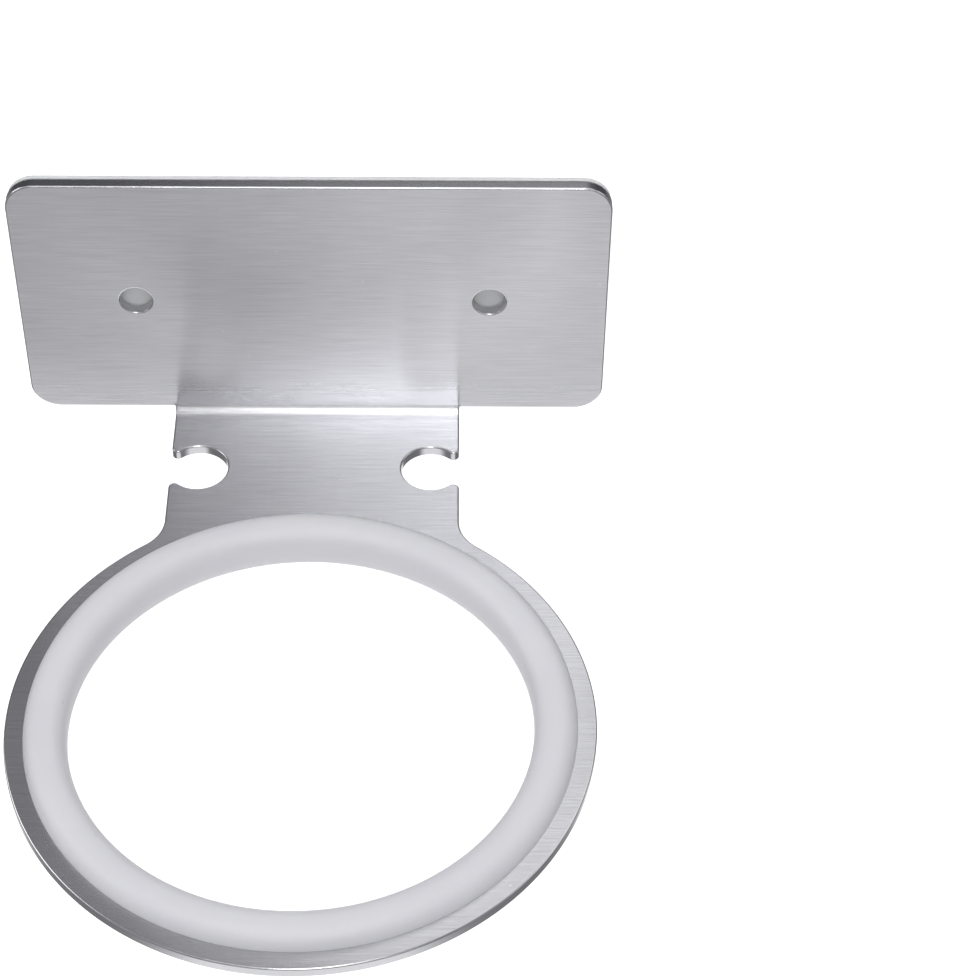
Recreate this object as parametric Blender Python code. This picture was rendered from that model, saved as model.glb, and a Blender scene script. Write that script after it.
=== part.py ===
"""Wall holder for a hair dryer.

One stainless sheet is cut flat, then folded once: a wall plate, a short neck with a cable slot in each
side, and a ring.  A silicone liner is pushed over the ring's bore, and a foam adhesive pad covers the
plate's back.

Metres, +Z up, +Y into the wall.  The origin is the middle of the pad's back face, on the wall.
"""

import math

import bmesh
import bpy
from mathutils import Vector

# Sheet and wall plate
SHEET = 0.002
PLATE_WIDTH = 0.100
PLATE_HEIGHT = 0.050
PLATE_CORNER = 0.005
SCREW_SPACING = 0.060
SCREW_HOLE_RADIUS = 0.00275

# Fold between the plate and the neck
FOLD_INSIDE_RADIUS = 0.002
FOLD_STEPS = 8
RING_BELOW_PLATE = 0.001  # from the plate's lower edge down to the ring's top face

# Neck and ring
NECK_WIDTH = 0.050
NECK_ROOT_FILLET = 0.0006
NECK_RING_FILLET = 0.007
RING_REACH = 0.070  # from the plate's front face to the ring's centre
RING_RADIUS = 0.047
RING_BORE_RADIUS = 0.040

# Cable slots: a round seat behind two rounded lips
SLOT_RADIUS = 0.0051
SLOT_FROM_EDGE = 0.0049
SLOT_REACH = 0.0140  # from the plate's front face to the slot's centre
SLOT_LIP_RADIUS = 0.001

# Liner: a rounded bead with a groove for the sheet
LINER_MIDDLE_RADIUS = 0.0406
LINER_HALF_WIDTH = 0.0035
LINER_HALF_HEIGHT = 0.0042
LINER_DROP = 0.0003  # the bead's middle hangs this far under the middle of the sheet
LINER_SQUARENESS = 2.5  # 2 is an ellipse, more is boxier
LINER_PROFILE_POINTS = 24
LINER_STEPS = 96

# Pad
PAD_THICKNESS = 0.0008
PAD_INSET = 0.0002

CLEARANCE = 0.0003  # between two pieces that touch

# How finely the curves are stepped
CORNER_STEPS = 12
ROOT_STEPS = 5
LIP_STEPS = 8
SEAT_STEPS = 32
FILLET_STEPS = 10
RIM_STEPS = 56
SCREW_HOLE_STEPS = 32
BORE_STEPS = 96
SAME_PLACE = 1e-7  # points closer than this are one
SHARP_EDGE = 35  # degrees between two faces

# What follows from them
PLATE_BACK = -(PAD_THICKNESS + CLEARANCE)
PLATE_FRONT = PLATE_BACK - SHEET
FOLD_MIDDLE_RADIUS = FOLD_INSIDE_RADIUS + SHEET / 2
FOLD_LENGTH = FOLD_MIDDLE_RADIUS * math.pi / 2
FOLD_AXIS_Y = PLATE_FRONT - FOLD_INSIDE_RADIUS
RING_TOP = -PLATE_HEIGHT / 2 - RING_BELOW_PLATE
RING_CENTRE_Y = PLATE_FRONT - RING_REACH
FOLD_AXIS_Z = RING_TOP + FOLD_INSIDE_RADIUS


def material(name, color, roughness, metallic):
    """A plain Principled material."""
    made = bpy.data.materials.new(name)
    made.use_nodes = True
    shader = made.node_tree.nodes["Principled BSDF"]
    shader.inputs["Base Color"].default_value = (*color, 1.0)
    shader.inputs["Roughness"].default_value = roughness
    shader.inputs["Metallic"].default_value = metallic
    return made


def add_object(name, bm, made_of):
    """Turn a bmesh into a shaded object under its own name."""
    bmesh.ops.recalc_face_normals(bm, faces=bm.faces[:])
    mesh = bpy.data.meshes.new(name)
    bm.to_mesh(mesh)
    bm.free()
    mesh.shade_smooth()
    mesh.set_sharp_from_angle(angle=math.radians(SHARP_EDGE))
    mesh.materials.append(made_of)
    obj = bpy.data.objects.new(name, mesh)
    bpy.context.scene.collection.objects.link(obj)
    return obj


def arc(centre, radius, start, end, steps):
    """Points along an arc, from one angle to the other, in degrees."""
    angles = [math.radians(start + (end - start) * i / steps) for i in range(steps + 1)]
    return [
        (centre[0] + radius * math.cos(a), centre[1] + radius * math.sin(a))
        for a in angles
    ]


def circle(centre, radius, steps):
    """Points round a circle, without repeating the first."""
    return arc(centre, radius, 0, 360, steps)[:-1]


def along(y):
    """How far past the start of the fold a point of the neck lies in the flat sheet."""
    return -FOLD_LENGTH - (FOLD_AXIS_Y - y)


def right_outline():
    """The right half of the flat sheet's outline, from the top centre to the ring's front.

    Across is X.  Up is measured along the middle of the sheet, from zero where the fold starts.
    """
    side = PLATE_WIDTH / 2
    top = PLATE_HEIGHT / 2 - FOLD_AXIS_Z
    low = -PLATE_HEIGHT / 2 - FOLD_AXIS_Z
    neck = NECK_WIDTH / 2
    points = [(0.0, top)]
    points += arc((side - PLATE_CORNER, top - PLATE_CORNER), PLATE_CORNER, 90, 0, CORNER_STEPS)
    points += arc((side - PLATE_CORNER, low + PLATE_CORNER), PLATE_CORNER, 0, -90, CORNER_STEPS)
    root = (neck + NECK_ROOT_FILLET, low - NECK_ROOT_FILLET)
    points += arc(root, NECK_ROOT_FILLET, 90, 180, ROOT_STEPS)

    slot = (neck - SLOT_FROM_EDGE, along(PLATE_FRONT - SLOT_REACH))
    lip_x = neck - SLOT_LIP_RADIUS
    lip_rise = math.sqrt((SLOT_RADIUS + SLOT_LIP_RADIUS) ** 2 - (lip_x - slot[0]) ** 2)
    turn = math.degrees(math.atan2(lip_rise, lip_x - slot[0]))
    points += arc((lip_x, slot[1] + lip_rise), SLOT_LIP_RADIUS, 0, turn - 180, LIP_STEPS)
    points += arc(slot, SLOT_RADIUS, turn, 360 - turn, SEAT_STEPS)[1:]
    points += arc((lip_x, slot[1] - lip_rise), SLOT_LIP_RADIUS, 180 - turn, 0, LIP_STEPS)[1:]

    ring = (0.0, along(RING_CENTRE_Y))
    out = neck + NECK_RING_FILLET
    rise = math.sqrt((RING_RADIUS + NECK_RING_FILLET) ** 2 - out**2)
    turn = math.degrees(math.atan2(rise, out))
    points += arc((out, ring[1] + rise), NECK_RING_FILLET, 180, 180 + turn, FILLET_STEPS)
    points += arc(ring, RING_RADIUS, turn, -90, RIM_STEPS)[1:]
    return points


def sheet_loops():
    """The flat sheet's outline and its three holes."""
    right = right_outline()
    left = [(-x, up) for x, up in reversed(right[1:-1])]
    ring = (0.0, along(RING_CENTRE_Y))
    screws = [
        circle((side * SCREW_SPACING / 2, -FOLD_AXIS_Z), SCREW_HOLE_RADIUS, SCREW_HOLE_STEPS)
        for side in (-1, 1)
    ]
    return [right + left, circle(ring, RING_BORE_RADIUS, BORE_STEPS), *screws]


def fold(across, up, depth):
    """Where a point of the flat sheet ends up.

    depth runs from the middle of the sheet towards the fold's inside.  The plate's lower corners reach a
    little below the start of the fold, and stay flat beside it.
    """
    flat = Vector((across, PLATE_FRONT + SHEET / 2 - depth, FOLD_AXIS_Z + up))
    if up >= 0:
        return flat
    angle = min(-up / FOLD_MIDDLE_RADIUS, math.pi / 2)
    beyond = max(-up - FOLD_LENGTH, 0.0)
    radius = FOLD_MIDDLE_RADIUS - depth
    folded = Vector(
        (
            across,
            FOLD_AXIS_Y + radius * math.cos(angle) - beyond,
            FOLD_AXIS_Z - radius * math.sin(angle),
        )
    )
    beside = (abs(across) - NECK_WIDTH / 2) / NECK_ROOT_FILLET
    stays_flat = min(max(beside, 0.0), 1.0) if -up < FOLD_LENGTH else 0.0
    return folded.lerp(flat, stays_flat)


def flat_sheet():
    """The flat sheet as a triangle mesh, cut across where the fold bends it."""
    bm = bmesh.new()
    for loop in sheet_loops():
        verts = [bm.verts.new((x, up, 0.0)) for x, up in loop]
        for i, vert in enumerate(verts):
            bm.edges.new((vert, verts[i - 1]))
    bmesh.ops.triangle_fill(bm, use_beauty=True, edges=bm.edges[:], normal=(0, 0, 1))
    cuts = [((0.0, -FOLD_LENGTH * i / FOLD_STEPS), (0, 1)) for i in range(FOLD_STEPS + 1)]
    for side in (-1, 1):
        for x in (NECK_WIDTH / 2, NECK_WIDTH / 2 + NECK_ROOT_FILLET):
            cuts.append(((side * x, 0.0), (1, 0)))
    for point, normal in cuts:
        near = [f for f in bm.faces if max(v.co.y for v in f.verts) > -FOLD_LENGTH]
        parts = near + list({e for f in near for e in f.edges} | {v for f in near for v in f.verts})
        bmesh.ops.bisect_plane(
            bm, geom=parts, dist=SAME_PLACE, plane_co=(*point, 0), plane_no=(*normal, 0)
        )
    bmesh.ops.triangulate(bm, faces=bm.faces[:])
    return bm


def steel_bracket():
    """The cut sheet, thickened to both sides of its middle and folded."""
    flat = flat_sheet()
    bm = bmesh.new()
    inside = {v: bm.verts.new(fold(v.co.x, v.co.y, SHEET / 2)) for v in flat.verts}
    outside = {v: bm.verts.new(fold(v.co.x, v.co.y, -SHEET / 2)) for v in flat.verts}
    for face in flat.faces:
        bm.faces.new([inside[v] for v in face.verts])
        bm.faces.new([outside[v] for v in reversed(face.verts)])
    for edge in flat.edges:
        if edge.is_boundary:
            a, b = edge.verts
            bm.faces.new((inside[a], inside[b], outside[b], outside[a]))
    flat.free()
    steel = material("brushed_steel", (0.55, 0.55, 0.57), 0.32, 1.0)
    return add_object("steel_bracket", bm, steel)


def bead_radius(rise):
    """Half the bead's width at a height above or below its middle."""
    share = min(abs(rise) / LINER_HALF_HEIGHT, 1.0)
    return LINER_HALF_WIDTH * (1 - share**LINER_SQUARENESS) ** (1 / LINER_SQUARENESS)


def liner_profile():
    """The liner's section in (radius, height), as one closed loop round the bead and its groove."""
    middle = RING_TOP - SHEET / 2 - LINER_DROP
    groove_top = RING_TOP + CLEARANCE
    groove_low = RING_TOP - SHEET - CLEARANCE
    power = 2 / LINER_SQUARENESS
    points = [(LINER_MIDDLE_RADIUS + bead_radius(groove_top - middle), groove_top)]
    for i in range(LINER_PROFILE_POINTS):
        angle = 2 * math.pi * (i + 0.5) / LINER_PROFILE_POINTS
        c, s = math.cos(angle), math.sin(angle)
        r = LINER_MIDDLE_RADIUS + LINER_HALF_WIDTH * math.copysign(abs(c) ** power, c)
        z = middle + LINER_HALF_HEIGHT * math.copysign(abs(s) ** power, s)
        if r < LINER_MIDDLE_RADIUS or not groove_low < z < groove_top:
            points.append((r, z))
    points.append((LINER_MIDDLE_RADIUS + bead_radius(groove_low - middle), groove_low))
    floor = RING_BORE_RADIUS - CLEARANCE
    return points + [(floor, groove_low), (floor, groove_top)]


def ring_liner():
    """The silicone bead, its section turned round the ring's axis."""
    bm = bmesh.new()
    centre = Vector((0.0, RING_CENTRE_Y, 0.0))
    verts = [bm.verts.new(centre + Vector((r, 0.0, z))) for r, z in liner_profile()]
    edges = [bm.edges.new((verts[i - 1], vert)) for i, vert in enumerate(verts)]
    bmesh.ops.spin(
        bm,
        geom=verts + edges,
        cent=centre,
        axis=(0, 0, 1),
        angle=2 * math.pi,
        steps=LINER_STEPS,
        use_merge=True,
    )
    silicone = material("white_silicone", (0.80, 0.80, 0.83), 0.45, 0.0)
    return add_object("ring_liner", bm, silicone)


def adhesive_pad():
    """The foam pad over the plate's back, whole behind the screw holes."""
    across = PLATE_WIDTH / 2 - PAD_INSET
    up = PLATE_HEIGHT / 2 - PAD_INSET
    corner = PLATE_CORNER - PAD_INSET
    quarter = 90
    outline = []
    for turns, (x, z) in enumerate(((1, 1), (-1, 1), (-1, -1), (1, -1))):
        start = turns * quarter
        middle = (x * (across - corner), z * (up - corner))
        outline += arc(middle, corner, start, start + quarter, CORNER_STEPS)
    bm = bmesh.new()
    back = bm.faces.new([bm.verts.new((x, 0.0, z)) for x, z in outline])
    grown = bmesh.ops.extrude_face_region(bm, geom=[back], use_keep_orig=True)
    front = [v for v in grown["geom"] if isinstance(v, bmesh.types.BMVert)]
    bmesh.ops.translate(bm, vec=(0.0, -PAD_THICKNESS, 0.0), verts=front)
    foam = material("adhesive_foam", (0.74, 0.75, 0.77), 0.8, 0.0)
    return add_object("adhesive_pad", bm, foam)


def main():
    for obj in list(bpy.data.objects):
        bpy.data.objects.remove(obj, do_unlink=True)
    holder = bpy.data.objects.new("holder", None)
    bpy.context.scene.collection.objects.link(holder)
    for piece in (steel_bracket(), ring_liner(), adhesive_pad()):
        piece.parent = holder


main()
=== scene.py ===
"""Wall holder for a hair dryer, dressed for its picture.

A bent sheet of brushed stainless steel, a soft white liner in its ring and a foam pad on its back, over a
plain pale floor under soft studio light.  Everything is in metres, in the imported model's own frame: +Z up,
+Y into the wall, with the origin in the middle of the pad's back face.
"""

import logging
import math
from collections.abc import Iterator
from dataclasses import dataclass, field
from enum import Enum, IntEnum
from typing import Any

import bmesh
import bpy
from mathutils import Matrix, Vector


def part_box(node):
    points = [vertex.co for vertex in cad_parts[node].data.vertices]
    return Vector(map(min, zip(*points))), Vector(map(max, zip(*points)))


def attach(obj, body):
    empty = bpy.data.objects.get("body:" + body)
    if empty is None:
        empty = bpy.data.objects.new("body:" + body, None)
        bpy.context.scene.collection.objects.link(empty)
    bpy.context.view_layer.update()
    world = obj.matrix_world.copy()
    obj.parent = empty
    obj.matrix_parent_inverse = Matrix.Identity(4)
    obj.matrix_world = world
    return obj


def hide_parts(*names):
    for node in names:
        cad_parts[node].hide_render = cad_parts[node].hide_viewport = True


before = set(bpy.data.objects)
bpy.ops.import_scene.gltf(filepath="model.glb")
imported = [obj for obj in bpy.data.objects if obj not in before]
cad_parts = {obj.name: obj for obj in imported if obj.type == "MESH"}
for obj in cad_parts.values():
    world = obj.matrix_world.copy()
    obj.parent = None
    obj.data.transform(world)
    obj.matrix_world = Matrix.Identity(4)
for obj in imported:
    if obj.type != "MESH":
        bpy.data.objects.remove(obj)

Colour = tuple[float, float, float]
Point = tuple[float, float]

BODY = "root"

log = logging.getLogger("holder")


class Node(Enum):
    """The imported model's three solids."""

    BRACKET = "steel_bracket"
    LINER = "ring_liner"
    PAD = "adhesive_pad"


class Slot(Enum):
    """The record's material slots."""

    STEEL = "brushed_steel"
    SILICONE = "white_silicone"
    FOAM = "adhesive_foam"


class SheetSkin(IntEnum):
    """The two skins of the sheet, as material slots of its mesh."""

    BRUSHED = 0
    CUT = 1


class Sum(Enum):
    """The sums that the materials do."""

    ADD = "ADD"
    SUBTRACT = "SUBTRACT"
    MULTIPLY = "MULTIPLY"
    MULTIPLY_ADD = "MULTIPLY_ADD"
    LESS_THAN = "LESS_THAN"
    LARGER = "MAXIMUM"


# Shapes in the flat


def arc(centre: Point, radius: float, start: float, end: float, steps: int) -> list[Point]:
    """Points along an arc.

    Args:
        centre: the arc's centre.
        radius: its radius.
        start: where it starts, in degrees.
        end: where it ends, in degrees.
        steps: how many steps it takes.

    Returns:
        The points, both ends among them.
    """
    angles = [math.radians(start + (end - start) * i / steps) for i in range(steps + 1)]
    return [(centre[0] + radius * math.cos(a), centre[1] + radius * math.sin(a)) for a in angles]


def circle(centre: Point, radius: float, steps: int) -> list[Point]:
    """Points round a circle.

    Args:
        centre: the circle's centre.
        radius: its radius.
        steps: how many points it has.

    Returns:
        The points, without the first again.
    """
    return arc(centre, radius, 0.0, 360.0, steps)[:-1]


def turned_right(a: Vector, b: Vector) -> Vector:
    """The unit normal on the right of the way from a to b, in the flat."""
    way = (b - a).normalized()
    return Vector((way.y, -way.x))


def drawn_in(loop: list[Point], distance: float) -> list[Point]:
    """Move a closed loop to its right, which is the metal's side of every loop here.

    Args:
        loop: the points, in order.
        distance: how far they move.

    Returns:
        The moved points.
    """
    points = [Vector(p) for p in loop]
    moved = []
    for before, here, after in zip(points[-1:] + points[:-1], points, points[1:] + points[:1]):
        first, second = turned_right(before, here), turned_right(here, after)
        mean = (first + second).normalized()
        moved.append(tuple(here + mean * (distance / mean.dot(first))))
    return moved


def rounded_rectangle(half_x: float, half_z: float, corner: float, steps: int) -> list[Point]:
    """A rectangle with round corners, in the plane of the wall.

    Args:
        half_x: half its width.
        half_z: half its height.
        corner: its corners' radius.
        steps: how many steps each corner takes.

    Returns:
        The points, in order.
    """
    quarter = 90.0
    points = []
    for turns, (x, z) in enumerate(((1, 1), (-1, 1), (-1, -1), (1, -1))):
        middle = (x * (half_x - corner), z * (half_z - corner))
        points += arc(middle, corner, turns * quarter, (turns + 1) * quarter, steps)
    return points


def link_mesh(name: str, bm: bmesh.types.BMesh) -> bpy.types.Object:
    """Turn a bmesh into a smooth object in the scene.

    Args:
        name: the piece's name.
        bm: its shape, which is used up.

    Returns:
        The new object.
    """
    mesh = bpy.data.meshes.new(name)
    bm.to_mesh(mesh)
    bm.free()
    mesh.shade_smooth()
    obj = bpy.data.objects.new(name, mesh)
    bpy.context.scene.collection.objects.link(obj)
    return obj


def place_piece(obj: bpy.types.Object, node: Node, slot: Slot) -> None:
    """Put a finished piece in its CAD solid's place.

    Args:
        obj: the piece.
        node: the solid that it stands for.
        slot: the record's slot for its finish; not used.
    """
    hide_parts(node.value)
    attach(obj, BODY)
    log.info("%s: %d faces, stands for %s", obj.name, len(obj.data.polygons), node.value)


# Wiring of materials


class Wiring:
    """A node tree, with short ways to fill it."""

    def __init__(self, tree: bpy.types.NodeTree) -> None:
        """Keep the tree.

        Args:
            tree: the material's or the group's tree.
        """
        self.tree = tree

    def node(self, kind: str, feeds: dict[Any, Any] | None = None, **options: Any) -> bpy.types.Node:
        """Add a node.

        Args:
            kind: its type.
            feeds: what goes into its sockets, by name or number: an output or a plain value.
            options: its own options.

        Returns:
            The new node.
        """
        made = self.tree.nodes.new(kind)
        for name, value in options.items():
            setattr(made, name, value)
        for name, value in (feeds or {}).items():
            self.feed(made.inputs[name], value)
        return made

    def feed(self, socket: bpy.types.NodeSocket, value: Any) -> None:
        """Link an output to a socket, or set the socket to a plain value."""
        if isinstance(value, bpy.types.NodeSocket):
            self.tree.links.new(value, socket)
        else:
            socket.default_value = value

    def sum(self, how: Sum, *values: Any) -> bpy.types.NodeSocket:
        """Do one sum.

        Args:
            how: which sum.
            values: its two or three terms, outputs or numbers.

        Returns:
            The result's socket.
        """
        feeds = dict(enumerate(values))
        return self.node("ShaderNodeMath", feeds, operation=how.value).outputs["Value"]

    def remap(self, value: Any, before: Point, after: Point) -> bpy.types.NodeSocket:
        """Stretch a value from one range to another, and stop it at the ends.

        Args:
            value: the value.
            before: the range that it is read over.
            after: the range that it is given.

        Returns:
            The result's socket.
        """
        feeds = {"Value": value, 1: before[0], 2: before[1], 3: after[0], 4: after[1]}
        return self.node("ShaderNodeMapRange", feeds, clamp=True).outputs["Result"]

    def mix(self, share: Any, first: Any, second: Any, blend: str = "MIX") -> bpy.types.NodeSocket:
        """Mix two colours.

        Args:
            share: how much of the second there is.
            first: a colour or an output.
            second: a colour or an output.
            blend: how they mix.

        Returns:
            The colour's socket.
        """
        whole = [(*c, 1.0) if isinstance(c, tuple) else c for c in (first, second)]
        feeds = {0: share, 6: whole[0], 7: whole[1]}
        made = self.node("ShaderNodeMix", feeds, data_type="RGBA", blend_type=blend)
        return made.outputs[2]

    def split(self, place: Any) -> list[bpy.types.NodeSocket]:
        """Take a place apart into its three numbers."""
        return list(self.node("ShaderNodeSeparateXYZ", {0: place}).outputs)

    def join(self, *parts: Any) -> bpy.types.NodeSocket:
        """Put up to three numbers together as a place."""
        return self.node("ShaderNodeCombineXYZ", dict(enumerate(parts))).outputs[0]

    def place_on(self, uv_map: str) -> bpy.types.NodeSocket:
        """The place on one of the mesh's maps, in metres."""
        return self.node("ShaderNodeUVMap", uv_map=uv_map).outputs["UV"]

    def place_in(self) -> bpy.types.NodeSocket:
        """The place in the piece's own space, in metres."""
        return self.node("ShaderNodeTexCoord").outputs["Object"]

    def mark(self, name: str) -> bpy.types.NodeSocket:
        """One of the mesh's own marks, a number at each point."""
        return self.node("ShaderNodeAttribute", attribute_name=name).outputs["Fac"]


# Effects that several finishes share


@dataclass(frozen=True)
class Effect:
    """A shared effect: a node group that is built once and placed with its own values."""

    name: str
    inputs: tuple[tuple[str, str, Any], ...]
    output: str

    def wire(self, inside: Wiring, given: bpy.types.NodeOutputs) -> bpy.types.NodeSocket:
        """Wire up the group's inside.

        Args:
            inside: the group's tree.
            given: the group's inputs.

        Returns:
            What the group puts out.
        """
        raise NotImplementedError

    def group(self) -> bpy.types.NodeTree:
        """The node group, made the first time it is asked for."""
        if self.name in bpy.data.node_groups:
            return bpy.data.node_groups[self.name]
        tree = bpy.data.node_groups.new(self.name, "ShaderNodeTree")
        for name, kind, value in self.inputs:
            socket = tree.interface.new_socket(name, in_out="INPUT", socket_type=kind)
            if value is not None:
                socket.default_value = value
        tree.interface.new_socket(self.output, in_out="OUTPUT", socket_type="NodeSocketFloat")
        inside = Wiring(tree)
        result = self.wire(inside, inside.node("NodeGroupInput").outputs)
        inside.node("NodeGroupOutput", {self.output: result})
        return tree

    def on(self, wiring: Wiring, **values: Any) -> bpy.types.NodeSocket:
        """Place the effect in a material.

        Args:
            wiring: the material's wiring.
            values: its inputs, by name, with spaces written as underscores.

        Returns:
            The effect's value.
        """
        feeds = {name.replace("_", " "): value for name, value in values.items()}
        placed = wiring.node("ShaderNodeGroup", node_tree=self.group())
        for name, value in feeds.items():
            wiring.feed(placed.inputs[name], value)
        return placed.outputs[self.output]


class Hairlines(Effect):
    """Fine lines that run along the second axis of a map, as a belt or a shear leaves them."""

    def wire(self, inside: Wiring, given: bpy.types.NodeOutputs) -> bpy.types.NodeSocket:
        """Noise that is drawn out along the lines, with its contrast raised."""
        across, down, _ = inside.split(given["Place"])
        fine = inside.sum(Sum.MULTIPLY, across, given["Lines per metre"])
        drawn = inside.sum(Sum.MULTIPLY, down, given["Marks per metre"])
        place = inside.join(fine, drawn, given["Layer"])
        feeds = {"Vector": place, "Scale": 1.0, "Detail": 3.0, "Roughness": 0.62}
        noise = inside.node("ShaderNodeTexNoise", feeds, noise_dimensions="3D")
        return inside.remap(noise.outputs["Fac"], (0.28, 0.72), (0.0, 1.0))


class Clouding(Effect):
    """Broad, soft variation, from handling and from the making."""

    def wire(self, inside: Wiring, given: bpy.types.NodeOutputs) -> bpy.types.NodeSocket:
        """Slow noise with its contrast raised."""
        feeds = {"Vector": given["Place"], "Scale": given["Patches per metre"], "Detail": 2.0}
        noise = inside.node("ShaderNodeTexNoise", feeds, noise_dimensions="3D")
        return inside.remap(noise.outputs["Fac"], (0.32, 0.68), (0.0, 1.0))


class Specks(Effect):
    """Small separate specks: dust, pits and pores."""

    def wire(self, inside: Wiring, given: bpy.types.NodeOutputs) -> bpy.types.NodeSocket:
        """One round dot in some of the cells, no two of one size."""
        feeds = {"Vector": given["Place"], "Scale": given["Cells per metre"]}
        cells = inside.node("ShaderNodeTexVoronoi", feeds, voronoi_dimensions="3D", feature="F1")
        chance, size, _ = inside.split(cells.outputs["Color"])
        chosen = inside.sum(Sum.LESS_THAN, chance, given["Share"])
        radius = inside.remap(size, (0.0, 1.0), (0.10, 0.26))
        inner = inside.sum(Sum.SUBTRACT, radius, cells.outputs["Distance"])
        dot = inside.remap(inner, (0.0, 0.08), (0.0, 1.0))
        return inside.sum(Sum.MULTIPLY, dot, chosen)


class Rubbing(Effect):
    """Wear along an edge, uneven along its length."""

    def wire(self, inside: Wiring, given: bpy.types.NodeOutputs) -> bpy.types.NodeSocket:
        """The edge's own mark, broken up by noise."""
        feeds = {"Vector": given["Place"], "Scale": given["Breaks per metre"], "Detail": 3.0}
        noise = inside.node("ShaderNodeTexNoise", feeds, noise_dimensions="3D")
        broken = inside.remap(noise.outputs["Fac"], (0.30, 0.55), (0.55, 1.0))
        return inside.sum(Sum.MULTIPLY, given["Edge"], broken)


FLOAT = "NodeSocketFloat"
PLACE = ("Place", "NodeSocketVector", None)

HAIRLINES = Hairlines(
    name="hairlines",
    inputs=(PLACE, ("Lines per metre", FLOAT, 4000.0), ("Marks per metre", FLOAT, 100.0), ("Layer", FLOAT, 0.0)),
    output="Line",
)
CLOUDING = Clouding(
    name="clouding",
    inputs=(PLACE, ("Patches per metre", FLOAT, 40.0)),
    output="Cloud",
)
SPECKS = Specks(
    name="specks",
    inputs=(PLACE, ("Cells per metre", FLOAT, 400.0), ("Share", FLOAT, 0.1)),
    output="Speck",
)
RUBBING = Rubbing(
    name="rubbed_edge",
    inputs=(PLACE, ("Edge", FLOAT, 0.0), ("Breaks per metre", FLOAT, 300.0)),
    output="Wear",
)


# Finishes


@dataclass(frozen=True)
class Finish:
    """A procedural finish on one Principled shader."""

    name: str

    def wire(self, wiring: Wiring, shader: bpy.types.Node) -> None:
        """Wire up the shader.

        Args:
            wiring: the material's wiring.
            shader: its Principled shader.
        """
        raise NotImplementedError

    def material(self) -> bpy.types.Material:
        """The finish as a material, made the first time it is asked for."""
        if self.name in bpy.data.materials:
            return bpy.data.materials[self.name]
        made = bpy.data.materials.new(self.name)
        made.use_nodes = True
        wiring = Wiring(made.node_tree)
        self.wire(wiring, made.node_tree.nodes["Principled BSDF"])
        return made


def raise_bump(wiring: Wiring, shader: bpy.types.Node, height: Any, depth: float) -> None:
    """Turn a height into the shader's normal.

    Args:
        wiring: the material's wiring.
        shader: its Principled shader.
        height: the height, from 0 to 1.
        depth: how deep 1 is, in metres.
    """
    feeds = {"Height": height, "Distance": depth, "Strength": 1.0}
    wiring.feed(shader.inputs["Normal"], wiring.node("ShaderNodeBump", feeds).outputs["Normal"])


@dataclass(frozen=True)
class BrushedSteel(Finish):
    """Stainless steel with a satin finish, brushed across the holder.

    The lines run along X, so that a reflection is drawn out up and down the sheet and stays crisp across it.
    """

    name: str = "satin_brushed_steel"
    light: Colour = (0.66, 0.66, 0.68)
    dark: Colour = (0.47, 0.47, 0.49)
    roughness: float = 0.225
    plate_softer: float = 0.12
    anisotropy: float = 1.0
    uv_map: str = "lay"
    edge_mark: str = "edge"

    def wire(self, wiring: Wiring, shader: bpy.types.Node) -> None:
        """Two sizes of brush line, clouding, pits and a brighter rubbed edge."""
        lay, inside = wiring.place_on(self.uv_map), wiring.place_in()
        fine = HAIRLINES.on(wiring, Place=lay, Lines_per_metre=9500.0, Marks_per_metre=150.0)
        long = HAIRLINES.on(wiring, Place=lay, Lines_per_metre=3300.0, Marks_per_metre=70.0, Layer=5.0)
        cloud = CLOUDING.on(wiring, Place=inside, Patches_per_metre=55.0)
        pits = SPECKS.on(wiring, Place=inside, Cells_per_metre=700.0, Share=0.009)
        wear = RUBBING.on(wiring, Place=inside, Edge=wiring.mark(self.edge_mark), Breaks_per_metre=260.0)

        lines = wiring.sum(Sum.MULTIPLY_ADD, fine, 0.45, wiring.sum(Sum.MULTIPLY, long, 0.55))
        shade = wiring.sum(Sum.MULTIPLY_ADD, cloud, 0.12, wiring.sum(Sum.MULTIPLY, lines, 0.88))
        brushed = wiring.mix(shade, self.dark, self.light)
        pitted = wiring.mix(wiring.sum(Sum.MULTIPLY, pits, 0.5), brushed, (0.74, 0.74, 0.75))
        worn = wiring.mix(wiring.sum(Sum.MULTIPLY, wear, 0.6), pitted, (0.78, 0.78, 0.79))
        wiring.feed(shader.inputs["Base Color"], worn)

        up = wiring.split(lay)[0]
        softer = wiring.remap(up, (-0.002, 0.014), (0.0, self.plate_softer))
        base = wiring.sum(Sum.MULTIPLY_ADD, lines, -0.06, self.roughness + 0.03)
        soft = wiring.sum(Sum.MULTIPLY_ADD, cloud, 0.03, wiring.sum(Sum.ADD, base, softer))
        wiring.feed(shader.inputs["Roughness"], wiring.sum(Sum.MULTIPLY_ADD, pits, 0.2, soft))
        raise_bump(wiring, shader, lines, 0.000006)

        shader.inputs["Metallic"].default_value = 1.0
        shader.inputs["Anisotropic"].default_value = self.anisotropy
        tangent = wiring.node("ShaderNodeTangent", direction_type="UV_MAP", uv_map=self.uv_map)
        wiring.feed(shader.inputs["Tangent"], tangent.outputs["Tangent"])


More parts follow.
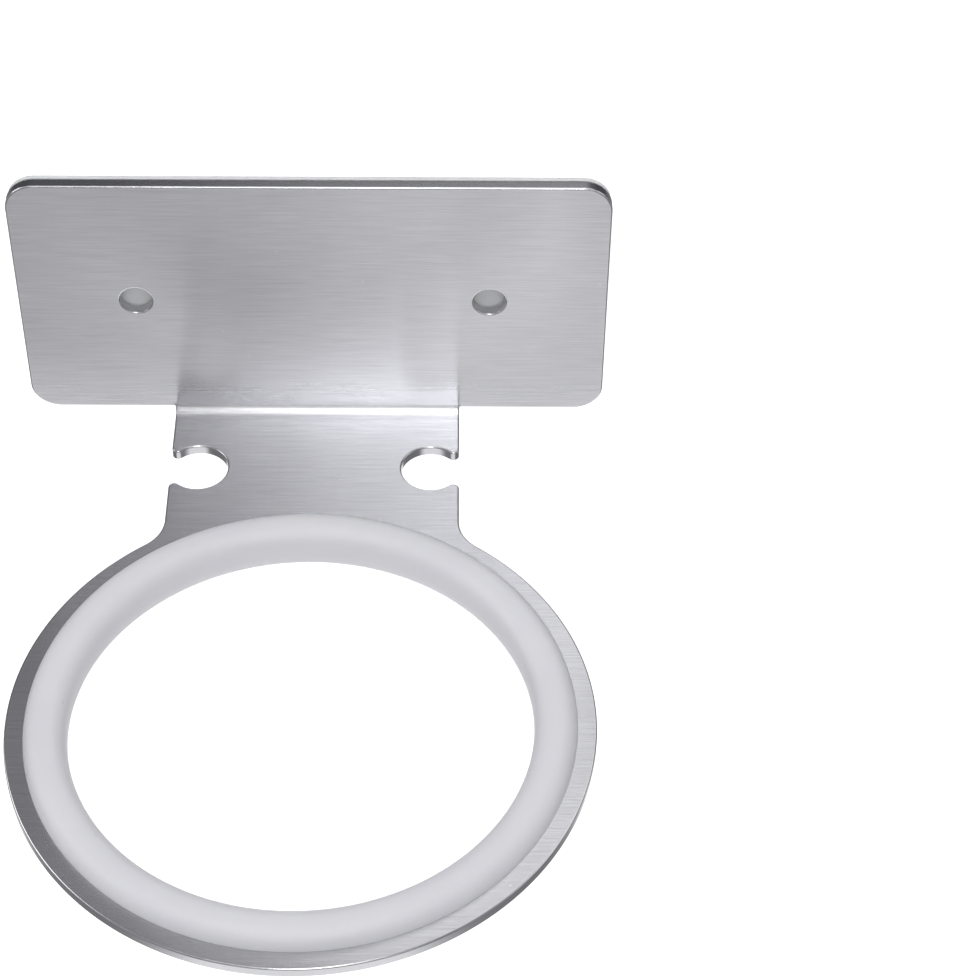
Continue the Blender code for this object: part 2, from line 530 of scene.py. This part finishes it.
@dataclass(frozen=True)
class CutSteel(Finish):
    """The sheet's cut edge: fine lines through its thickness, and a brighter rounded rim."""

    name: str = "cut_steel_edge"
    light: Colour = (0.54, 0.54, 0.555)
    dark: Colour = (0.485, 0.485, 0.50)
    rim: Colour = (0.84, 0.84, 0.85)
    roughness: float = 0.17
    uv_map: str = "cut"
    edge_mark: str = "edge"

    def wire(self, wiring: Wiring, shader: bpy.types.Node) -> None:
        """Lines through the thickness, clouding along the cut and a worn rim."""
        cut, inside = wiring.place_on(self.uv_map), wiring.place_in()
        fine = HAIRLINES.on(wiring, Place=cut, Lines_per_metre=8000.0, Marks_per_metre=300.0)
        cloud = CLOUDING.on(wiring, Place=inside, Patches_per_metre=120.0)
        wear = RUBBING.on(wiring, Place=inside, Edge=wiring.mark(self.edge_mark), Breaks_per_metre=180.0)
        shade = wiring.sum(Sum.MULTIPLY_ADD, cloud, 0.35, wiring.sum(Sum.MULTIPLY, fine, 0.65))
        plain = wiring.mix(shade, self.dark, self.light)
        wiring.feed(shader.inputs["Base Color"], wiring.mix(wear, plain, self.rim))
        base = wiring.sum(Sum.MULTIPLY_ADD, fine, -0.05, self.roughness + 0.025)
        wiring.feed(shader.inputs["Roughness"], wiring.sum(Sum.MULTIPLY_ADD, wear, 0.06, base))
        raise_bump(wiring, shader, fine, 0.0000015)
        shader.inputs["Metallic"].default_value = 1.0


@dataclass(frozen=True)
class SoftSilicone(Finish):
    """Moulded white silicone: soft satin, a little see-through, with a faint cool cast."""

    name: str = "moulded_silicone"
    light: Colour = (0.90, 0.90, 0.935)
    dark: Colour = (0.875, 0.875, 0.912)
    dust: Colour = (0.60, 0.60, 0.62)
    roughness: float = 0.42

    def wire(self, wiring: Wiring, shader: bpy.types.Node) -> None:
        """Clouded colour, a mould's fine grain and a little dust."""
        inside = wiring.place_in()
        cloud = CLOUDING.on(wiring, Place=inside, Patches_per_metre=70.0)
        grain = CLOUDING.on(wiring, Place=inside, Patches_per_metre=2600.0)
        dust = SPECKS.on(wiring, Place=inside, Cells_per_metre=900.0, Share=0.012)
        clouded = wiring.mix(cloud, self.dark, self.light)
        dusty = wiring.mix(wiring.sum(Sum.MULTIPLY, dust, 0.35), clouded, self.dust)
        wiring.feed(shader.inputs["Base Color"], dusty)
        base = wiring.sum(Sum.MULTIPLY_ADD, cloud, 0.07, self.roughness)
        wiring.feed(shader.inputs["Roughness"], wiring.sum(Sum.MULTIPLY_ADD, dust, 0.2, base))
        raise_bump(wiring, shader, grain, 0.000006)
        shader.inputs["Subsurface Weight"].default_value = 0.25
        shader.inputs["Subsurface Radius"].default_value = (1.0, 0.95, 0.9)
        shader.inputs["Subsurface Scale"].default_value = 0.0015


@dataclass(frozen=True)
class AdhesiveFoam(Finish):
    """Closed-cell foam tape: a matte skin of glue over a porous edge."""

    name: str = "closed_cell_foam"
    light: Colour = (0.95, 0.955, 0.96)
    dark: Colour = (0.905, 0.91, 0.915)
    # Painted shade for the hollows of the cut cells in the foam's edge.
    pore_shade: Colour = (0.45, 0.46, 0.48)
    roughness: float = 0.72
    edge_mark: str = "edge"

    def wire(self, wiring: Wiring, shader: bpy.types.Node) -> None:
        """Pores in the cut edge, dented and with painted shade in their hollows, and clouding and fine grain all
        over.
        """
        inside = wiring.place_in()
        cloud = CLOUDING.on(wiring, Place=inside, Patches_per_metre=90.0)
        grain = CLOUDING.on(wiring, Place=inside, Patches_per_metre=3800.0)
        cells = SPECKS.on(wiring, Place=inside, Cells_per_metre=3600.0, Share=0.6)
        pore_dents_and_shade = wiring.sum(Sum.MULTIPLY, cells, wiring.mark(self.edge_mark))
        shade = wiring.sum(Sum.MULTIPLY_ADD, cloud, 0.6, wiring.sum(Sum.MULTIPLY, grain, 0.4))
        plain = wiring.mix(shade, self.dark, self.light)
        # The pores are painted darker in the colour, as shade in their hollows, beside their real dents in the
        # bump.
        wiring.feed(shader.inputs["Base Color"], wiring.mix(pore_dents_and_shade, plain, self.pore_shade))
        base = wiring.sum(Sum.MULTIPLY_ADD, cloud, 0.12, self.roughness)
        wiring.feed(shader.inputs["Roughness"], wiring.sum(Sum.MULTIPLY_ADD, pore_dents_and_shade, 0.1, base))
        raise_bump(wiring, shader, wiring.sum(Sum.SUBTRACT, grain, pore_dents_and_shade), 0.00002)


@dataclass(frozen=True)
class PalePaper(Finish):
    """The floor: plain pale paper that shows white to the camera by its own emission, and that is pale from
    every side.
    """

    name: str = "pale_paper"
    light: Colour = (0.37, 0.37, 0.38)
    dark: Colour = (0.355, 0.355, 0.365)
    glow: float = 1.05
    glow_starts: float = -0.50
    glow_whole: float = -0.32
    glow_half_width: float = 0.14
    glow_ends: float = 0.21

    def wire(self, wiring: Wiring, shader: bpy.types.Node) -> None:
        """Faint clouding, and a painted glow: the paper itself emits light in a patch behind the holder, as a
        light behind the paper would, and emits white wherever the camera sees it.
        """
        cloud = CLOUDING.on(wiring, Place=wiring.place_in(), Patches_per_metre=3.0)
        wiring.feed(shader.inputs["Base Color"], wiring.mix(cloud, self.dark, self.light))
        shader.inputs["Roughness"].default_value = 0.9
        across, back, _ = wiring.split(wiring.place_in())
        # Painted glow: emission on the paper, not a lamp, that lights the holder's reflections.
        behind = wiring.remap(back, (self.glow_starts, self.glow_whole), (0.0, 1.0))
        aside = wiring.sum(Sum.LARGER, across, wiring.sum(Sum.MULTIPLY, across, -1.0))
        near = wiring.remap(aside, (self.glow_half_width, self.glow_ends), (1.0, 0.0))
        lit = wiring.sum(Sum.MULTIPLY, behind, near)
        looked_at = wiring.node("ShaderNodeLightPath").outputs["Is Camera Ray"]
        glow = wiring.mix(wiring.sum(Sum.LARGER, lit, looked_at), (0.0, 0.0, 0.0), (1.0, 1.0, 1.0))
        wiring.feed(shader.inputs["Emission Color"], glow)
        shader.inputs["Emission Strength"].default_value = self.glow


# The bent sheet


@dataclass
class SheetSteps:
    """How finely the sheet's curves are stepped."""

    plate_corner: int = 20
    root: int = 10
    lip: int = 14
    seat: int = 72
    fillet: int = 24
    rim: int = 150
    bore: int = 256
    screw_hole: int = 72
    bend: int = 28
    bevel: int = 4


@dataclass
class SheetPoint:
    """A point of the folded sheet, and its surroundings."""

    place: Vector
    across: Vector
    up: Vector
    out: Vector


@dataclass
class BentSheet:
    """The one sheet of steel: wall plate, neck with two cable slots, and ring, folded once."""

    thickness: float = 0.002
    plate_height: float = 0.050
    plate_corner: float = 0.005
    screw_spacing: float = 0.060
    screw_hole_radius: float = 0.00275
    fold_inside_radius: float = 0.002
    neck_width: float = 0.050
    neck_root_fillet: float = 0.0006
    neck_ring_fillet: float = 0.007
    ring_radius: float = 0.047
    bore_radius: float = 0.040
    slot_radius: float = 0.0051
    slot_from_edge: float = 0.0049
    slot_reach: float = 0.0140
    slot_lip_radius: float = 0.001
    bevel: float = 0.0003
    steps: SheetSteps = field(default_factory=SheetSteps)
    brushed: BrushedSteel = BrushedSteel()
    cut: CutSteel = CutSteel()

    def __post_init__(self) -> None:
        """Take the places from the CAD solid's box, and work out what follows from them."""
        self.low, self.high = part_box(Node.BRACKET.value)
        self.plate_front = self.high.y - self.thickness
        self.middle_radius = self.fold_inside_radius + self.thickness / 2
        self.bend_length = self.middle_radius * math.pi / 2
        self.axis_y = self.plate_front - self.fold_inside_radius
        self.axis_z = self.low.z + self.thickness + self.fold_inside_radius
        self.ring_y = self.low.y + self.ring_radius

    def along(self, y: float) -> float:
        """How far up the flat sheet a point of the neck or the ring lies, with 0 where the bend starts."""
        return -self.bend_length - (self.axis_y - y)

    def right_slot(self) -> list[Point]:
        """The right cable slot: a round seat between two rounded lips, in the neck's edge."""
        edge = self.neck_width / 2
        seat = (edge - self.slot_from_edge, self.along(self.plate_front - self.slot_reach))
        lip = self.slot_lip_radius
        lip_x = edge - lip
        rise = math.sqrt((self.slot_radius + lip) ** 2 - (lip_x - seat[0]) ** 2)
        turn = math.degrees(math.atan2(rise, lip_x - seat[0]))
        points = arc((lip_x, seat[1] + rise), lip, 0, turn - 180, self.steps.lip)
        points += arc(seat, self.slot_radius, turn, 360 - turn, self.steps.seat)[1:]
        points += arc((lip_x, seat[1] - rise), lip, 180 - turn, 0, self.steps.lip)[1:]
        return points

    def right_outline(self) -> list[Point]:
        """The right half of the flat outline, from the plate's top to the ring's front."""
        side = self.high.x
        corner, root = self.plate_corner, self.neck_root_fillet
        top = self.high.z - self.axis_z
        low = top - self.plate_height
        edge = self.neck_width / 2
        points = [(0.0, top)]
        points += arc((side - corner, top - corner), corner, 90, 0, self.steps.plate_corner)
        points += arc((side - corner, low + corner), corner, 0, -90, self.steps.plate_corner)
        points += arc((edge + root, low - root), root, 90, 180, self.steps.root)
        points += self.right_slot()
        ring = (0.0, self.along(self.ring_y))
        out = edge + self.neck_ring_fillet
        rise = math.sqrt((self.ring_radius + self.neck_ring_fillet) ** 2 - out**2)
        turn = math.degrees(math.atan2(rise, out))
        fillet = (out, ring[1] + rise)
        points += arc(fillet, self.neck_ring_fillet, 180, 180 + turn, self.steps.fillet)
        points += arc(ring, self.ring_radius, turn, -90, self.steps.rim)[1:]
        return points

    def loops(self) -> list[list[Point]]:
        """The outline, the ring's bore and the two screw holes, each with the metal on its right."""
        right = self.right_outline()
        left = [(-x, up) for x, up in reversed(right[1:-1])]
        holes = [
            circle((side * self.screw_spacing / 2, -self.axis_z), self.screw_hole_radius, self.steps.screw_hole)
            for side in (-1, 1)
        ]
        bore = circle((0.0, self.along(self.ring_y)), self.bore_radius, self.steps.bore)
        return [right + left, bore, *holes]

    def fold(self, across: float, up: float, depth: float) -> Vector:
        """Where a point of the flat sheet ends up.

        Args:
            across: its X.
            up: how far up the flat sheet it is, from where the bend starts.
            depth: how far it is from the middle of the sheet towards the inside of the bend.

        Returns:
            Its place.  Beside the neck, the plate's lower edge stays flat.
        """
        flat = Vector((across, self.plate_front + self.thickness / 2 - depth, self.axis_z + up))
        if up >= 0:
            return flat
        angle = min(-up / self.middle_radius, math.pi / 2)
        beyond = max(-up - self.bend_length, 0.0)
        radius = self.middle_radius - depth
        y = self.axis_y + radius * math.cos(angle) - beyond
        bent = Vector((across, y, self.axis_z - radius * math.sin(angle)))
        if -up >= self.bend_length:
            return bent
        beside = (abs(across) - self.neck_width / 2) / self.neck_root_fillet
        return bent.lerp(flat, min(max(beside, 0.0), 1.0))

    def point(self, across: float, up: float, depth: float) -> SheetPoint:
        """A point of the folded sheet with the directions that the flat sheet's axes take there."""
        near = 0.00002
        to_x = self.fold(across + near, up, depth) - self.fold(across - near, up, depth)
        to_up = self.fold(across, up + near, depth) - self.fold(across, up - near, depth)
        to_x.normalize()
        to_up.normalize()
        return SheetPoint(self.fold(across, up, depth), to_x, to_up, to_x.cross(to_up).normalized())

    def lay_flat(self) -> bmesh.types.BMesh:
        """The flat part of the sheet inside its rounded rim, cut across where it bends."""
        bm = bmesh.new()
        for loop in self.loops():
            verts = [bm.verts.new((x, up, 0.0)) for x, up in drawn_in(loop, self.bevel)]
            for i, vert in enumerate(verts):
                bm.edges.new((vert, verts[i - 1]))
        bmesh.ops.triangle_fill(bm, use_beauty=True, edges=bm.edges[:], normal=(0, 0, 1))
        bend = self.steps.bend
        cuts = [((0.0, -self.bend_length * i / bend), (0, 1)) for i in range(bend + 1)]
        beside = 4
        for side in (-1, 1):
            for i in range(beside + 1):
                x = self.neck_width / 2 + self.neck_root_fillet * i / beside
                cuts.append(((side * x, 0.0), (1, 0)))
        for where, normal in cuts:
            near = [f for f in bm.faces if max(v.co.y for v in f.verts) > -self.bend_length]
            parts = near + list({e for f in near for e in f.edges} | {v for f in near for v in f.verts})
            bmesh.ops.bisect_plane(bm, geom=parts, dist=1e-7, plane_co=(*where, 0), plane_no=(*normal, 0))
        bmesh.ops.triangulate(bm, faces=bm.faces[:])
        return bm

    @staticmethod
    def rims(flat: bmesh.types.BMesh) -> Iterator[list[tuple[bmesh.types.BMVert, Vector]]]:
        """The flat part's borders, one closed loop at a time.

        Args:
            flat: the flat part.

        Yields:
            The loop's vertices in order, each with the way out of the metal.
        """
        way_out = {}
        onward = {}
        for edge in flat.edges:
            if not edge.is_boundary:
                continue
            corner = next(c for c in edge.link_loops)
            a, b = corner.vert, corner.link_loop_next.vert
            onward[a] = b
            outward = turned_right(a.co.xy, b.co.xy)
            for vert in (a, b):
                way_out.setdefault(vert, []).append(outward)
        while onward:
            start = next(iter(onward))
            loop = []
            here = start
            while here in onward:
                mean = sum(way_out[here], Vector((0.0, 0.0))).normalized()
                loop.append((here, mean / mean.dot(way_out[here][0])))
                here = onward.pop(here)
            yield loop

    def rim_section(self) -> list[tuple[float, float, float]]:
        """The rounded rim's section: how far out, at what depth, and how far its normal leans out."""
        half = self.thickness / 2
        turns = [math.pi / 2 * i / self.steps.bevel for i in range(self.steps.bevel + 1)]
        inner = [
            (self.bevel * math.sin(t), half - self.bevel * (1 - math.cos(t)), t) for t in turns
        ]
        return inner + [(out, -depth, math.pi - t) for out, depth, t in reversed(inner)]

    def build(self) -> bpy.types.Object:
        """Thicken the flat sheet, round its rims, and fold it.

        Returns:
            The sheet as an object, with exact normals, two maps and a mark along its rims.
        """
        flat = self.lay_flat()
        bm = bmesh.new()
        lay = bm.loops.layers.uv.new(self.brushed.uv_map)
        cut = bm.loops.layers.uv.new(self.cut.uv_map)
        normals: dict[bmesh.types.BMVert, Vector] = {}
        flat_place: dict[bmesh.types.BMVert, Point] = {}
        edge_mark: dict[bmesh.types.BMVert, float] = {}

        def add(across: float, up: float, depth: float, outward: Vector, lean: float) -> bmesh.types.BMVert:
            """Add one vertex, and keep its normal, its place in the flat and its mark."""
            spot = self.point(across, up, depth)
            vert = bm.verts.new(spot.place)
            sideways = spot.across * outward.x + spot.up * outward.y
            normals[vert] = (spot.out * math.cos(lean) + sideways * math.sin(lean)).normalized()
            flat_place[vert] = (up, across)
            edge_mark[vert] = abs(math.sin(2 * lean))
            return vert

        no_way = Vector((0.0, 0.0))
        half = self.thickness / 2
        skins = [
            {v: add(v.co.x, v.co.y, depth, no_way, lean) for v in flat.verts}
            for depth, lean in ((half, 0.0), (-half, math.pi))
        ]
        for face in flat.faces:
            bm.faces.new([skins[0][v] for v in face.verts])
            bm.faces.new([skins[1][v] for v in reversed(face.verts)])
        section = self.rim_section()
        for rim in self.rims(flat):
            rows = []
            for vert, outward in rim:
                row = [skins[0][vert]]
                for out, depth, lean in section[1:-1]:
                    at = vert.co.xy + outward * out
                    row.append(add(at.x, at.y, depth, outward.normalized(), lean))
                rows.append(row + [skins[1][vert]])
            self.skirt(bm, rows, cut)
        flat.free()

        for face in bm.faces:
            for corner in face.loops:
                corner[lay].uv = flat_place[corner.vert]
        bm.verts.index_update()
        ordered = [normals[v] for v in bm.verts]
        marks = [edge_mark[v] for v in bm.verts]
        obj = link_mesh("bent_sheet", bm)
        obj.data.normals_split_custom_set_from_vertices(ordered)
        edge = obj.data.attributes.new(self.cut.edge_mark, "FLOAT", "POINT")
        edge.data.foreach_set("value", marks)
        return obj

    @staticmethod
    def skirt(bm: bmesh.types.BMesh, rows: list[list[bmesh.types.BMVert]], cut: Any) -> None:
        """Close one rim with faces, and map them along its length.

        Args:
            bm: the sheet.
            rows: the section's vertices at each step along the rim.
            cut: the map for the cut edge.
        """
        length = 0.0
        for first, second in zip(rows, rows[1:] + rows[:1]):
            step = (second[0].co - first[0].co).length
            depth = 0.0
            for i in range(len(first) - 1):
                deeper = depth + (first[i + 1].co - first[i].co).length
                face = bm.faces.new((second[i], first[i], first[i + 1], second[i + 1]))
                face.material_index = SheetSkin.CUT
                places = ((length + step, depth), (length, depth), (length, deeper), (length + step, deeper))
                for corner, place in zip(face.loops, places):
                    corner[cut].uv = place
                depth = deeper
            length += step

    def dress(self, obj: bpy.types.Object) -> None:
        """Give the sheet its two skins."""
        obj.data.materials.append(self.brushed.material())
        obj.data.materials.append(self.cut.material())

    def make(self) -> None:
        """Build, dress and place the sheet."""
        obj = self.build()
        self.dress(obj)
        place_piece(obj, Node.BRACKET, Slot.STEEL)


# The liner


@dataclass
class RingLiner:
    """The moulded bead that grips the ring's bore, with a parting line round its inside."""

    sheet: BentSheet
    squareness: float = 2.5
    half_width: float = 0.0035
    grip_gap: float = 0.00003
    parting_height: float = 0.00005
    parting_width: float = 0.00022
    profile_points: int = 96
    turn_steps: int = 256
    sharp_edge: float = 40.0
    finish: SoftSilicone = SoftSilicone()

    def __post_init__(self) -> None:
        """Take the place from the CAD solid's box."""
        low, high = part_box(Node.LINER.value)
        self.middle_z = (low.z + high.z) / 2
        self.half_height = (high.z - low.z) / 2
        self.middle_radius = (high.x - low.x) / 2 - self.half_width

    def bead_radius(self, z: float) -> float:
        """Half the bead's width at a height."""
        share = min(abs(z - self.middle_z) / self.half_height, 1.0)
        return self.half_width * (1 - share**self.squareness) ** (1 / self.squareness)

    def profile(self) -> list[Point]:
        """The section in radius and height, round the bead and its groove.

        Returns:
            One closed loop.
        """
        top = self.sheet.low.z + self.sheet.thickness + self.grip_gap
        low = self.sheet.low.z - self.grip_gap
        power = 2 / self.squareness
        points = [(self.middle_radius + self.bead_radius(top), top)]
        for i in range(self.profile_points):
            angle = 2 * math.pi * (i + 0.5) / self.profile_points
            c, s = math.cos(angle), math.sin(angle)
            r = self.middle_radius + self.half_width * math.copysign(abs(c) ** power, c)
            z = self.middle_z + self.half_height * math.copysign(abs(s) ** power, s)
            if r < self.middle_radius:
                line = max(0.0, 1 - abs(z - self.middle_z) / self.parting_width)
                r -= self.parting_height * line * line * (3 - 2 * line)
            if r < self.middle_radius or not low < z < top:
                points.append((r, z))
        points.append((self.middle_radius + self.bead_radius(low), low))
        floor = self.sheet.bore_radius - self.grip_gap
        return points + [(floor, low), (floor, top)]

    def build(self) -> bpy.types.Object:
        """Turn the section round the ring's axis."""
        bm = bmesh.new()
        centre = Vector((0.0, self.sheet.ring_y, 0.0))
        verts = [bm.verts.new(centre + Vector((r, 0.0, z))) for r, z in self.profile()]
        edges = [bm.edges.new((verts[i - 1], vert)) for i, vert in enumerate(verts)]
        bmesh.ops.spin(
            bm,
            geom=verts + edges,
            cent=centre,
            axis=(0, 0, 1),
            angle=2 * math.pi,
            steps=self.turn_steps,
            use_merge=True,
        )
        bmesh.ops.recalc_face_normals(bm, faces=bm.faces[:])
        obj = link_mesh("liner_bead", bm)
        obj.data.set_sharp_from_angle(angle=math.radians(self.sharp_edge))
        return obj

    def make(self) -> None:
        """Build, dress and place the liner."""
        obj = self.build()
        obj.data.materials.append(self.finish.material())
        place_piece(obj, Node.LINER, Slot.SILICONE)


# The pad


@dataclass
class FoamPad:
    """The adhesive pad: a foam core between two thin skins of glue, die-cut to the plate's shape."""

    corner: float = 0.0048
    film: float = 0.00008
    core_inset: float = 0.00012
    core_bulge: float = 0.00007
    corner_steps: int = 20
    core_steps: int = 6
    finish: AdhesiveFoam = AdhesiveFoam()

    def __post_init__(self) -> None:
        """Take the place from the CAD solid's box."""
        self.low, self.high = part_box(Node.PAD.value)

    def section(self) -> list[tuple[float, float, float]]:
        """The edge from front to back: how far in, its Y, and how much it is foam."""
        front, back = self.low.y, self.high.y
        rows = [(0.00003, front, 0.0), (0.0, front + self.film / 3, 0.0), (0.0, front + self.film, 0.3)]
        core = back - front - 2 * self.film
        for i in range(self.core_steps + 1):
            share = i / self.core_steps
            bulge = self.core_bulge * math.sin(math.pi * share)
            rows.append((self.core_inset - bulge, front + self.film + core * share, 1.0))
        rows += [(0.0, back - self.film, 0.3), (0.0, back - self.film / 3, 0.0), (0.00003, back, 0.0)]
        return rows

    def build(self) -> bpy.types.Object:
        """Build the pad row by row, with a flat face at its front and its back."""
        bm = bmesh.new()
        foam = bm.verts.layers.float.new(self.finish.edge_mark)
        half_x, half_z = self.high.x, self.high.z
        rows = []
        for inset, y, share in self.section():
            outline = rounded_rectangle(half_x - inset, half_z - inset, self.corner - inset, self.corner_steps)
            row = [bm.verts.new((x, y, z)) for x, z in outline]
            for vert in row:
                vert[foam] = share
            rows.append(row)
        for first, second in zip(rows, rows[1:]):
            for i in range(len(first)):
                bm.faces.new((first[i - 1], first[i], second[i], second[i - 1]))
        bm.faces.new(rows[0])
        bm.faces.new(rows[-1])
        bmesh.ops.recalc_face_normals(bm, faces=bm.faces[:])
        obj = link_mesh("foam_pad", bm)
        obj.data.set_sharp_from_angle(angle=math.radians(35))
        return obj

    def make(self) -> None:
        """Build, dress and place the pad."""
        obj = self.build()
        obj.data.materials.append(self.finish.material())
        place_piece(obj, Node.PAD, Slot.FOAM)


# The studio


@dataclass(frozen=True)
class SoftBox:
    """A soft rectangular light that faces the holder, placed by one of its edges.

    Seen from the holder, it reaches to the right of that edge, or to the left if its reach is negative.
    """

    name: str
    edge_low: tuple[float, float, float]
    edge_high: tuple[float, float, float]
    reach: float
    brightness: float
    tint: Colour = (1.0, 1.0, 1.0)

    def hang(self) -> None:
        """Make the light, as bright as its face should look."""
        low, high = Vector(self.edge_low), Vector(self.edge_high)
        edge = high - low
        rise = edge.normalized()
        away = ((low + high) / 2).normalized()
        across = away.cross(rise).normalized()
        light = bpy.data.lights.new(self.name, "AREA")
        light.shape = "RECTANGLE"
        light.size = abs(self.reach)
        light.size_y = edge.length
        light.energy = self.brightness * math.pi * light.size * light.size_y
        light.color = self.tint
        obj = bpy.data.objects.new(self.name, light)
        bpy.context.scene.collection.objects.link(obj)
        turn = Matrix((-across, rise, rise.cross(across))).transposed()
        middle = (low + high + across * self.reach) / 2
        obj.matrix_world = Matrix.LocRotScale(middle, turn.to_quaternion(), None)
        log.info("%s: %.2f by %.2f m", self.name, light.size, light.size_y)


@dataclass
class Studio:
    """The floor, the soft light and the camera."""

    floor_z: float = -0.30
    floor_size: float = 6.0
    ambient: Colour = (0.30, 0.30, 0.315)
    low_back: Colour = (0.11, 0.11, 0.118)
    backdrop: Colour = (1.0, 1.0, 1.0)
    camera_place: tuple[float, float, float] = (0.023878, -0.345095, 0.310123)
    camera_down: float = 46.152
    camera_turn: float = 0.381
    lens: float = 99.808
    shift_x: float = 0.04188
    paper: PalePaper = PalePaper()
    boxes: tuple[SoftBox, ...] = (
        SoftBox("back_box", (-0.168, 1.473, 1.343), (-0.016, 0.316, 1.945), 1.5, 0.95),
        SoftBox("front_box", (-0.196, -1.902, 0.938), (-0.064, -0.556, 1.863), -0.40, 4.3),
        SoftBox("low_front_strip", (1.3, -1.9, 0.80), (1.3, -1.8, 1.15), 2.6, 1.6),
        SoftBox("top_strip", (-0.9, -0.40, 2.0), (-0.9, -0.85, 2.0), 1.8, 1.5),
        SoftBox("left_box", (-1.7, 0.9, 0.35), (-1.3, 0.9, 1.5), -1.8, 1.6),
        SoftBox("right_box", (1.7, 0.9, 0.35), (1.3, 0.9, 1.5), 1.8, 0.6),
    )

    def lay_floor(self) -> None:
        """Lay the plain pale floor."""
        bm = bmesh.new()
        bmesh.ops.create_grid(bm, x_segments=8, y_segments=8, size=self.floor_size / 2)
        floor = link_mesh("paper_floor", bm)
        floor.location.z = self.floor_z
        floor.data.materials.append(self.paper.material())

    def fill_room(self) -> None:
        """Give the room a dim fill that is darker low down at the back, with a pale backdrop."""
        world = bpy.data.worlds.new("room")
        world.use_nodes = True
        wiring = Wiring(world.node_tree)
        _, back, up = wiring.split(wiring.node("ShaderNodeTexCoord").outputs["Generated"])
        behind = wiring.remap(back, (0.15, 0.45), (0.0, 1.0))
        below = wiring.remap(up, (0.655, 0.70), (1.0, 0.0))
        fill = wiring.mix(wiring.sum(Sum.MULTIPLY, behind, below), self.ambient, self.low_back)
        looked_at = wiring.node("ShaderNodeLightPath").outputs["Is Camera Ray"]
        background = world.node_tree.nodes["Background"]
        wiring.feed(background.inputs["Color"], wiring.mix(looked_at, fill, self.backdrop))
        bpy.context.scene.world = world

    def set_camera(self) -> None:
        """Set up the camera, and keep the render's tones as they are."""
        data = bpy.data.cameras.new("camera")
        data.lens = self.lens
        data.shift_x = self.shift_x
        data.clip_start = 0.01
        camera = bpy.data.objects.new("camera", data)
        bpy.context.scene.collection.objects.link(camera)
        camera.location = self.camera_place
        right_angle = 90.0
        camera.rotation_euler = (
            math.radians(right_angle - self.camera_down),
            0.0,
            math.radians(self.camera_turn),
        )
        bpy.context.scene.camera = camera
        bpy.context.scene.view_settings.view_transform = "Standard"

    def set_up(self) -> None:
        """Make the whole studio."""
        self.lay_floor()
        self.fill_room()
        for box in self.boxes:
            box.hang()
        self.set_camera()


def main() -> None:
    """Build the holder and its studio."""
    logging.basicConfig(level=logging.INFO, format="%(name)s: %(message)s")
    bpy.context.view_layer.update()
    sheet = BentSheet()
    sheet.make()
    RingLiner(sheet).make()
    FoamPad().make()
    Studio().set_up()


if __name__ == "__main__":
    main()
